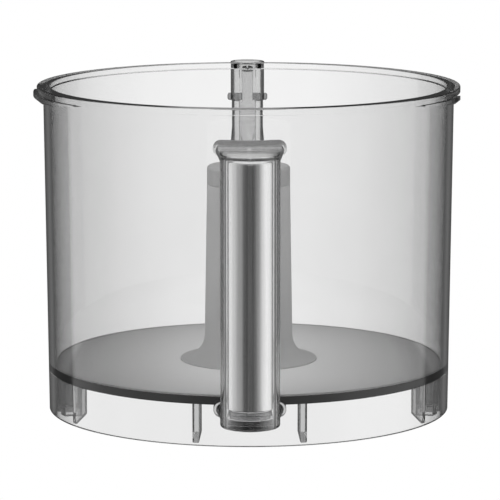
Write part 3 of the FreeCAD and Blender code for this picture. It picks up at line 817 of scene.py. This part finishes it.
class Look(Nodes):
    """A node material: short helpers round one Principled shader."""

    def __init__(self, name, roughness, metallic=0.0):
        self.material = bpy.data.materials.new(name)
        self.material.use_nodes = True
        super().__init__(self.material.node_tree)
        self.shader = self.tree.nodes["Principled BSDF"]
        self.output = self.tree.nodes["Material Output"]
        self.shader.inputs["Roughness"].default_value = roughness
        self.shader.inputs["Metallic"].default_value = metallic
        self.shader.inputs["IOR"].default_value = IOR
        self.place = self.tree.nodes.new("ShaderNodeTexCoord").outputs["Object"]

    def noise(self, scale, detail=3.0, stretch=(1.0, 1.0, 1.0)):
        mapping = self.tree.nodes.new("ShaderNodeMapping")
        mapping.inputs["Scale"].default_value = stretch
        self.link(self.place, mapping.inputs["Vector"])
        noise = self.tree.nodes.new("ShaderNodeTexNoise")
        noise.inputs["Scale"].default_value = scale
        noise.inputs["Detail"].default_value = detail
        self.link(mapping.outputs["Vector"], noise.inputs["Vector"])
        return noise.outputs["Fac"]

    def stretch(self, source, low, high):
        """Noise spread over a range of values."""
        return self.remap(source, NOISE_LOW, NOISE_HIGH, low, high)

    def reach(self, scale):
        """Length of the position after each axis is scaled."""
        mapping = self.tree.nodes.new("ShaderNodeMapping")
        mapping.inputs["Scale"].default_value = scale
        self.link(self.place, mapping.inputs["Vector"])
        length = self.tree.nodes.new("ShaderNodeVectorMath")
        length.operation = "LENGTH"
        self.link(mapping.outputs["Vector"], length.inputs[0])
        return length.outputs["Value"]

    def facing(self):
        """0 where the surface is seen square on, 1 where it is seen edge on."""
        layer = self.tree.nodes.new("ShaderNodeLayerWeight")
        layer.inputs["Blend"].default_value = 0.5
        return layer.outputs["Facing"]

    def bump(self, source, strength, distance):
        bump = self.tree.nodes.new("ShaderNodeBump")
        bump.inputs["Strength"].default_value = strength
        bump.inputs["Distance"].default_value = distance
        self.link(source, bump.inputs["Height"])
        self.link(bump.outputs["Normal"], self.shader.inputs["Normal"])

    def colour(self, source):
        self.link(source, self.shader.inputs["Base Color"])

    def roughness(self, source):
        self.link(source, self.shader.inputs["Roughness"])

    def absorb(self, density):
        volume = self.tree.nodes.new("ShaderNodeVolumeAbsorption")
        volume.inputs["Density"].default_value = density
        volume.inputs["Color"].default_value = (*SMOKE, 1.0)
        self.link(volume.outputs["Volume"], self.output.inputs["Volume"])


def clear_plastic(name, painted_edge_shade, density, ripple=0.02, roughness=0.0, clarity=1.0, darker_by_reach=None):
    """See-through moulded plastic with painted shade: its colour follows how squarely the surface is
    seen, and for most pieces darkens where the surface turns away, standing in for the dark edges of
    clear plastic.

    darker_by_reach is a pair, a scale for the position and the stops that darken the colour by its
    length.
    """
    look = Look(name, roughness=roughness)
    look.shader.inputs["Transmission Weight"].default_value = clarity
    cloud = look.ramp(look.noise(22.0, 2.0), [(0.35, 0.985), (0.65, 1.0)])
    # painted shade: the colour darkens with the angle the surface is seen at, for the dark edges of
    # clear plastic
    shade = look.multiply(cloud, look.ramp(look.facing(), painted_edge_shade))
    if darker_by_reach:
        # painted shade on the skirt's ribs; the guide uses it to darken its very top
        scale, stops = darker_by_reach
        shade = look.multiply(shade, look.ramp(look.reach(scale), stops))
    look.colour(shade)
    look.bump(look.noise(60.0, 1.0), ripple, 0.0005)
    look.absorb(density)
    return look.material


def frosted_plastic(name, low, high, roughness, grain):
    """Moulded plastic with a fine etched grain."""
    look = Look(name, roughness=roughness)
    spread = 0.08
    cloud = look.ramp(look.noise(CLOUD_SCALE), [(0.35, low), (0.65, high)])
    fine = look.noise(GRAIN_SCALE, 2.0)
    look.colour(look.multiply(cloud, look.ramp(fine, [(NOISE_LOW, 0.94), (NOISE_HIGH, 1.0)])))
    look.roughness(look.stretch(fine, roughness - spread, roughness + spread))
    look.bump(fine, grain, 0.0002)
    return look.material


def ring_look():
    """Dark moulded ring with a painted sheen: a little paler where it is seen square on."""
    look = Look("ring_plastic", roughness=0.12)
    # painted sheen: paler where the ring is seen square on, darker towards its edges
    shade = look.ramp(look.facing(), [(0.0, 0.040), (0.25, 0.026), (0.6, 0.008), (1.0, 0.005)])
    cloud = look.ramp(look.noise(CLOUD_SCALE), [(0.35, 0.85), (0.65, 1.0)])
    look.colour(look.multiply(shade, cloud))
    look.roughness(look.stretch(look.noise(GRAIN_SCALE, 2.0), 0.08, 0.16))
    return look.material


def floor_painted_shade_look():
    """Etched disc with painted shade that greys it towards its two sides, and a painted pale band again
    at their edge.
    """
    look = Look("floor_plastic_painted_shade", roughness=0.55)
    # painted shade: darker towards both sides, then a painted pale band near the sides' edge
    stops = [
        (0.25, 0.83), (0.42, 0.69), (0.58, 0.55), (0.73, 0.42),
        (0.82, 0.26), (0.855, 0.24), (0.885, 0.42), (0.95, 0.34),
    ]
    spread = look.ramp(look.reach((10.0, 4.0, 0.0)), stops)
    fine = look.noise(GRAIN_SCALE, 2.0)
    look.colour(look.multiply(spread, look.ramp(fine, [(NOISE_LOW, 0.95), (NOISE_HIGH, 1.0)])))
    look.roughness(look.stretch(fine, 0.47, 0.63))
    look.bump(fine, 0.2, 0.0002)
    return look.material


UPRIGHT_STREAKS = (1.0, 1.0, 0.02)
EVEN_GRAIN = (1.0, 1.0, 1.0)


def drawn_metal(name, low, high, roughness, along=UPRIGHT_STREAKS, scale=500.0):
    """Bright metal with fine streaks along the way it was drawn."""
    look = Look(name, roughness=roughness, metallic=1.0)
    spread = 0.05
    streaks = look.noise(scale, stretch=along)
    look.colour(look.ramp(streaks, [(NOISE_LOW, low), (NOISE_HIGH, high)]))
    look.roughness(look.stretch(streaks, roughness - spread, roughness + spread))
    look.bump(streaks, 0.08, 0.0001)
    return look.material


def even_metal(name, low, high, scale):
    """Metal with a fine grain that runs no way in particular."""
    return drawn_metal(name, low, high, roughness=0.30, along=EVEN_GRAIN, scale=scale)


def wall_look():
    # painted shade: the wall's colour darkens where it is seen edge on
    edge = [
        (0.0, 0.985), (0.06, 0.935), (0.125, 0.88), (0.22, 0.805),
        (0.33, 0.74), (0.44, 0.68), (0.65, 0.62), (1.0, 0.50),
    ]
    return clear_plastic("wall_plastic", edge, density=6.0)


def skirt_look():
    # painted shade: the skirt's colour darkens where it is seen edge on
    edge = [(0.0, 0.90), (0.125, 0.865), (0.5, 0.81), (0.62, 0.66), (1.0, 0.56)]
    # painted shade: the ribs inside the skirt are made darker than its wall
    ribs_painted_shade = ((10.0, 10.0, 0.0), [(0.940, 0.42), (0.948, 1.0)])
    return clear_plastic("skirt_plastic", edge, density=6.0, darker_by_reach=ribs_painted_shade)


def grip_look():
    # painted shade: the grip's colour darkens a little where it is seen edge on
    return clear_plastic("grip_plastic", [(0.0, 1.0), (0.5, 0.99), (1.0, 0.90)], density=6.0)


def bridge_look():
    # painted shade: the bridge's colour darkens strongly where it is seen edge on
    return clear_plastic("bridge_plastic", [(0.0, 0.95), (0.5, 0.70), (1.0, 0.30)], density=60.0)


def bottom_bridge_look():
    # painted shade: the lower bridge's colour darkens strongly where it is seen edge on
    return clear_plastic("bottom_bridge_plastic", [(0.0, 0.85), (0.3, 0.50), (1.0, 0.22)], density=60.0)


def guide_look():
    # painted shade: the guide's colour darkens where it is seen edge on
    edge = [(0.0, 0.86), (0.5, 0.86), (0.72, 0.80), (0.86, 0.35), (1.0, 0.25)]
    dark_top = ((0.0, 0.0, 6.0), [(0.950, 1.0), (0.955, 0.40)])
    return clear_plastic("guide_plastic", edge, density=45.0, darker_by_reach=dark_top)


def rod_look():
    # painted shade: the rod's colour darkens where it is seen edge on
    edge = [(0.0, 0.99), (0.5, 0.90), (1.0, 0.60)]
    return clear_plastic("rod_plastic", edge, density=8.0, roughness=0.08)


def stud_look():
    # painted shade: the studs' colour darkens where they are seen edge on
    edge = [(0.0, 0.50), (0.5, 0.36), (1.0, 0.15)]
    return clear_plastic("stud_plastic", edge, density=260.0, ripple=0.2)


def lug_look():
    # painted shade: the lugs' colour darkens where they are seen edge on
    edge = [(0.0, 0.88), (0.5, 0.66), (1.0, 0.40)]
    return clear_plastic("lug_plastic", edge, density=20.0, ripple=1.2, clarity=0.85)


def plug_look():
    # painted shade: the plug's colour is darker where it is seen square on
    edge = [(0.0, 0.50), (0.05, 0.72), (0.15, 0.97), (1.0, 1.0)]
    return clear_plastic("plug_plastic", edge, density=22.0, roughness=0.05)


# --- build ------------------------------------------------------------------------------------------

CLEAR = {
    "clear_wall", "clear_skirt", "clear_grip", "clear_bridge", "clear_guide", "smoke_lug", "dark_plug",
}

LOOKS = {
    "clear_wall": wall_look(),
    "frosted": frosted_plastic("frosted_plastic", low=0.53, high=0.60, roughness=0.55, grain=0.25),
    "frosted_floor": floor_painted_shade_look(),
    "dark_ring": ring_look(),
    "clear_skirt": skirt_look(),
    "smoke_lug": lug_look(),
    "collar": frosted_plastic("collar_plastic", low=0.42, high=0.48, roughness=0.45, grain=0.15),
    "clear_grip": grip_look(),
    "bright_insert": drawn_metal("insert_metal", low=0.80, high=0.92, roughness=0.16),
    "dark_plug": plug_look(),
    "clear_bridge": bridge_look(),
    "bottom_bridge": bottom_bridge_look(),
    "clear_guide": guide_look(),
    "steel": drawn_metal("pin_steel", low=0.50, high=0.66, roughness=0.25),
    "pale_rod": rod_look(),
    "stud": stud_look(),
    "spring_steel": even_metal("spring_wire", low=0.42, high=0.56, scale=900.0),
    "washer": even_metal("washer_steel", low=0.55, high=0.68, scale=700.0),
    "bush": frosted_plastic("bush_plastic", low=0.62, high=0.70, roughness=0.50, grain=0.1),
}


def weight_normals(piece):
    """Shade by face area, so that wide faces stay flat beside small roundings."""
    modifier = piece.modifiers.new("weighted_normals", "WEIGHTED_NORMAL")
    modifier.mode = "FACE_AREA"
    modifier.weight = 100
    modifier.keep_sharp = True
    bpy.context.view_layer.update()
    graph = bpy.context.evaluated_depsgraph_get()
    mesh = bpy.data.meshes.new_from_object(piece.evaluated_get(graph))
    piece.modifiers.clear()
    old = piece.data
    piece.data = mesh
    bpy.data.meshes.remove(old)
    mesh.name = piece.name


def dress(piece, slot, look=None):
    piece.data.materials.clear()
    piece.data.materials.append(LOOKS[look or slot])
    if slot in CLEAR:
        piece.visible_shadow = False


def install(piece, slot, *nodes, body="bowl", look=None):
    """Give a piece its look and its body, and let it stand in for the CAD nodes it details."""
    weight_normals(piece)
    dress(piece, slot, look)
    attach(piece, body)
    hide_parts(*nodes)
    return piece


def build_object():
    install(make_wall(), "clear_wall", "bowl_wall")
    install(make_floor(), "frosted", "bowl_floor", look="frosted_floor")
    install(make_joint_ring(), "dark_ring", "floor_joint_ring")
    install(make_skirt(), "clear_skirt", "base_skirt")
    install(make_lock_lugs(), "smoke_lug", "base_lock_lugs")
    install(make_centre_tube(), "frosted", "centre_tube", "centre_tube_foot")
    install(make_collar(), "collar", "tube_collar")
    install(make_grip(), "clear_grip", "handle_shell")
    install(make_insert(), "bright_insert", "handle_insert")
    install(make_plug(), "dark_plug", "handle_end_plug")
    install(make_top_bridge(), "clear_bridge", "handle_top_bridge")
    install(make_bottom_bridge(), "clear_bridge", "handle_bottom_bridge", look="bottom_bridge")
    install(make_guide(), "clear_guide", "interlock_tube", "interlock_housing")
    install(make_guide_pins(), "clear_guide", "interlock_guide_pins", look="stud")
    spring = install(make_spring(), "spring_steel", "interlock_spring")
    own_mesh(spring)


def dress_cad_nodes():
    """Looks for the nodes whose CAD shape is shown as it is."""
    kept = {
        "interlock_foot_pin": "steel",
        "interlock_rod": "pale_rod",
        "interlock_rod_cap": "pale_rod",
        "spring_seat_washer": "washer",
        "interlock_bush": "bush",
    }
    for node, slot in kept.items():
        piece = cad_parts[node]
        piece.data.materials.clear()
        piece.data.materials.append(LOOKS[slot])


# --- studio -----------------------------------------------------------------------------------------


class Studio(Nodes):
    """Nodes shared by the surround and the floor: what each kind of light ray sees."""

    def __init__(self, tree):
        super().__init__(tree)
        self.path = tree.nodes.new("ShaderNodeLightPath")

    def spread(self, source, low, high, stops):
        return self.ramp(self.remap(source, low, high), stops)

    def after(self, depth):
        """1 for rays that have had at least one bounce of a kind."""
        node = self.tree.nodes.new("ShaderNodeMath")
        node.operation = "GREATER_THAN"
        node.inputs[1].default_value = 0.5
        self.tree.links.new(self.path.outputs[depth], node.inputs[0])
        return node.outputs["Value"]

    def white(self):
        colour = self.tree.nodes.new("ShaderNodeRGB").outputs["Color"]
        colour.default_value = (1.0, 1.0, 1.0, 1.0)
        return colour

    def seen(self, direction):
        """White to the eye, soft boxes in reflections, a gentle gradient as diffuse light."""
        flat = self.tree.nodes.new("ShaderNodeVectorMath")
        flat.operation = "MULTIPLY"
        flat.inputs[1].default_value = (1.0, 1.0, 0.0)
        self.tree.links.new(direction, flat.inputs[0])
        unit = self.tree.nodes.new("ShaderNodeVectorMath")
        unit.operation = "NORMALIZE"
        self.tree.links.new(flat.outputs["Vector"], unit.inputs[0])
        split = self.tree.nodes.new("ShaderNodeSeparateXYZ")
        self.tree.links.new(unit.outputs["Vector"], split.inputs["Vector"])
        left = self.spread(split.outputs["Y"], -1.0, 1.0, REFLECTED_ON_LEFT)
        right = self.spread(split.outputs["Y"], -1.0, 1.0, REFLECTED_ON_RIGHT)
        side = self.spread(split.outputs["X"], -SIDES_MEET, SIDES_MEET, RISING)
        boxes = self.mix(side, left, right)
        fill = self.spread(split.outputs["X"], -1.0, 1.0, FILL_LEFT_TO_RIGHT)
        clean = self.mix(self.after("Glossy Depth"), self.white(), boxes)
        return self.mix(self.after("Diffuse Depth"), clean, fill)


REFLECTED_ON_LEFT = [
    (0.0, 0.07), (0.067, 0.12), (0.12, 0.31), (0.27, 0.43), (0.37, 0.59), (0.5, 0.68),
    (0.61, 0.91), (0.752, 0.96), (0.765, 0.10), (0.93, 0.10), (0.955, 0.20), (0.975, 0.13), (1.0, 0.07),
]
REFLECTED_ON_RIGHT = [
    (0.0, 0.08), (0.067, 0.20), (0.12, 0.32), (0.19, 0.54), (0.27, 0.84), (0.48, 1.0),
    (0.61, 0.94), (0.752, 0.71), (0.765, 0.10), (0.93, 0.10), (0.955, 0.20), (0.975, 0.13), (1.0, 0.07),
]
FILL_LEFT_TO_RIGHT = [(0.0, 1.0), (1.0, 0.70)]
RISING = [(0.0, 0.0), (1.0, 1.0)]
SIDES_MEET = 0.1
OVERHEAD = (0.45, 0.8)
BACK_STRIP_RISE = (0.08, 0.16)
BACK_STRIP_HALF = 0.02
BACK_STRIP = [(0.0, 0.0), (0.2, 1.0), (0.8, 1.0), (1.0, 0.0)]


def light_table():
    """Pale glowing floor that carries on the surround below the horizon."""
    width = 12.0
    just_below = -0.0005
    bpy.ops.mesh.primitive_plane_add(size=width, location=(0.0, 0.0, just_below))
    table = bpy.context.object
    table.name = "light_table"
    material = bpy.data.materials.new("light_table")
    material.use_nodes = True
    tree = material.node_tree
    tree.nodes.clear()
    output = tree.nodes.new("ShaderNodeOutputMaterial")
    glow = tree.nodes.new("ShaderNodeEmission")
    position = tree.nodes.new("ShaderNodeNewGeometry").outputs["Position"]
    tree.links.new(Studio(tree).seen(position), glow.inputs["Color"])
    tree.links.new(glow.outputs["Emission"], output.inputs["Surface"])
    table.data.materials.append(material)
    table.visible_glossy = False
    table.visible_transmission = False


def studio_world():
    """Surround that is white overhead and in a low strip behind, which level faces mirror."""
    world = bpy.data.worlds.new("studio")
    bpy.context.scene.world = world
    world.use_nodes = True
    tree = world.node_tree
    tree.nodes.clear()
    output = tree.nodes.new("ShaderNodeOutputWorld")
    background = tree.nodes.new("ShaderNodeBackground")
    direction = tree.nodes.new("ShaderNodeTexCoord").outputs["Generated"]
    nodes = Studio(tree)
    split = tree.nodes.new("ShaderNodeSeparateXYZ")
    tree.links.new(direction, split.inputs["Vector"])
    overhead = nodes.spread(split.outputs["Z"], *OVERHEAD, RISING)
    upwards = nodes.spread(split.outputs["Z"], *BACK_STRIP_RISE, RISING)
    middle = nodes.spread(split.outputs["X"], -BACK_STRIP_HALF, BACK_STRIP_HALF, BACK_STRIP)
    around = nodes.mix(nodes.multiply(upwards, middle), nodes.seen(direction), nodes.white())
    colour = nodes.mix(overhead, around, nodes.white())
    tree.links.new(colour, background.inputs["Color"])
    tree.links.new(background.outputs["Background"], output.inputs["Surface"])


def camera():
    """Long lens, slightly above the rim, in front of the handle."""
    target = Vector((0.0007, 0.0, 0.07772))
    distance = 1.7273
    elevation = math.radians(9.1)
    azimuth = math.radians(0.35)
    flat = distance * math.cos(elevation)
    height = distance * math.sin(elevation)
    away = Vector((-flat * math.sin(azimuth), -flat * math.cos(azimuth), height))
    data = bpy.data.cameras.new("photo_camera")
    data.lens = 252.8
    data.sensor_width = 36.0
    data.clip_end = 50.0
    viewer = bpy.data.objects.new("photo_camera", data)
    bpy.context.scene.collection.objects.link(viewer)
    viewer.location = target + away
    viewer.rotation_euler = (-away).to_track_quat("-Z", "Y").to_euler()
    bpy.context.scene.camera = viewer


def build_studio():
    light_table()
    studio_world()
    camera()
    scene = bpy.context.scene
    scene.view_settings.view_transform = "Standard"
    scene.view_settings.look = "None"
    scene.cycles.max_bounces = 24
    scene.cycles.transmission_bounces = 20
    scene.cycles.glossy_bounces = 8


build_object()
dress_cad_nodes()
build_studio()
